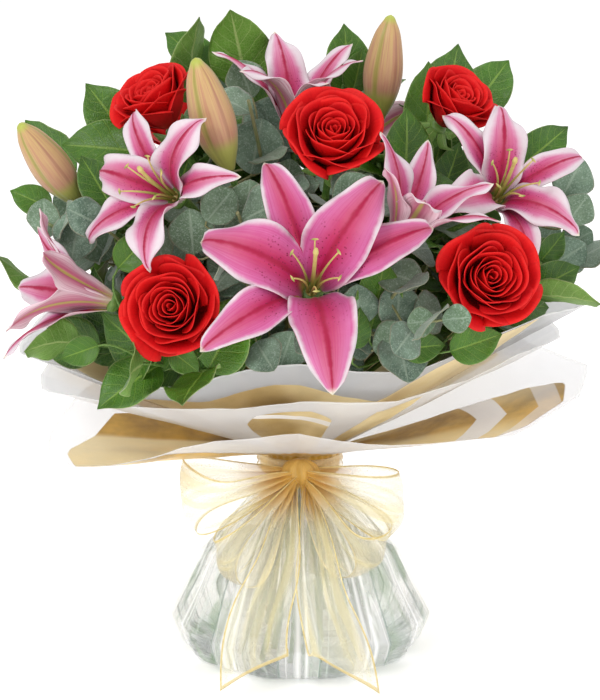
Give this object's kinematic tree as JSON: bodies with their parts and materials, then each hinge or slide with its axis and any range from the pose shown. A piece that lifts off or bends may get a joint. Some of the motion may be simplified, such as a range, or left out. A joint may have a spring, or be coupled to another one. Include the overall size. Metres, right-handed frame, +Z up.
{
  "type": "mixed flower bouquet",
  "caption": "Domed hand-tied bouquet of roses, lilies and leafy stems in layered paper wraps, tied with a sheer bow and standing in its own clear film pack of water.",
  "frame": {"origin": "centre of the water pack's flat base, on the surface it stands on", "axes": "+Z up through the tie, -Y to the front, where the bow is, +X to the right seen from the front"},
  "size_m": [0.4212, 0.405, 0.4611],
  "materials": {
    "clear_film": "clear glossy film, gathered in pleats",
    "water": "clear water, faintly green",
    "twine": "dry natural twine",
    "tan_paper": "matt tan paper with a white edge",
    "frosted_film": "frosted translucent film",
    "gold_paper": "satin gold paper with a white edge",
    "organza": "sheer woven organza with wired edges",
    "rose_petal": "velvety red petal",
    "lily_tepal": "waxy pink tepal with a white margin",
    "stamen": "pale green filaments",
    "lily_bud": "waxy peach bud with green ribs",
    "green_stem": "smooth green stem",
    "salal_leaf": "glossy dark green leaf",
    "eucalyptus_leaf": "waxy grey-green leaf"
  },
  "bodies": {
    "root": {"water_pack_film": "clear_film", "stem_twine": "twine", "wrap_inner_paper": "tan_paper", "wrap_middle_film": "frosted_film", "wrap_outer_paper": "gold_paper", "ribbon_bow": "organza", "rose_upper_left": "rose_petal", "rose_top": "rose_petal", "rose_upper_right": "rose_petal", "rose_lower_left": "rose_petal", "rose_lower_right": "rose_petal", "rose_back": "rose_petal", "lily_bud_left": "lily_bud", "lily_bud_upper": "lily_bud", "lily_bud_crown": "lily_bud", "lily_bud_back": "lily_bud", "lily_front": "lily_tepal", "lily_upper_left": "lily_tepal", "lily_half_right": "lily_tepal", "lily_upper_right": "lily_tepal", "lily_crown": "lily_tepal", "lily_half_left": "lily_tepal", "lily_back": "lily_tepal", "lily_front_stamens": "stamen", "lily_upper_left_stamens": "stamen", "lily_upper_right_stamens": "stamen", "lily_back_stamens": "stamen", "lily_stem_middle": "green_stem", "lily_stem_left": "green_stem", "lily_stem_right": "green_stem", "lily_stem_back": "green_stem", "rose_upper_left_stem": "green_stem", "rose_top_stem": "green_stem", "rose_upper_right_stem": "green_stem", "rose_lower_left_stem": "green_stem", "rose_lower_right_stem": "green_stem", "rose_back_stem": "green_stem", "salal_front_left": "salal_leaf", "salal_low_left": "salal_leaf", "eucalyptus_left": "eucalyptus_leaf", "salal_upper_left": "salal_leaf", "salal_crown_left": "salal_leaf", "eucalyptus_middle": "eucalyptus_leaf", "eucalyptus_front_left": "eucalyptus_leaf", "eucalyptus_front_right": "eucalyptus_leaf", "salal_low_right": "salal_leaf", "eucalyptus_right": "eucalyptus_leaf", "salal_upper_right": "salal_leaf", "salal_crown_right": "salal_leaf", "salal_back_right": "salal_leaf", "eucalyptus_back": "eucalyptus_leaf", "salal_back_left": "salal_leaf", "pack_water": "water"}
  },
  "joints": []
}
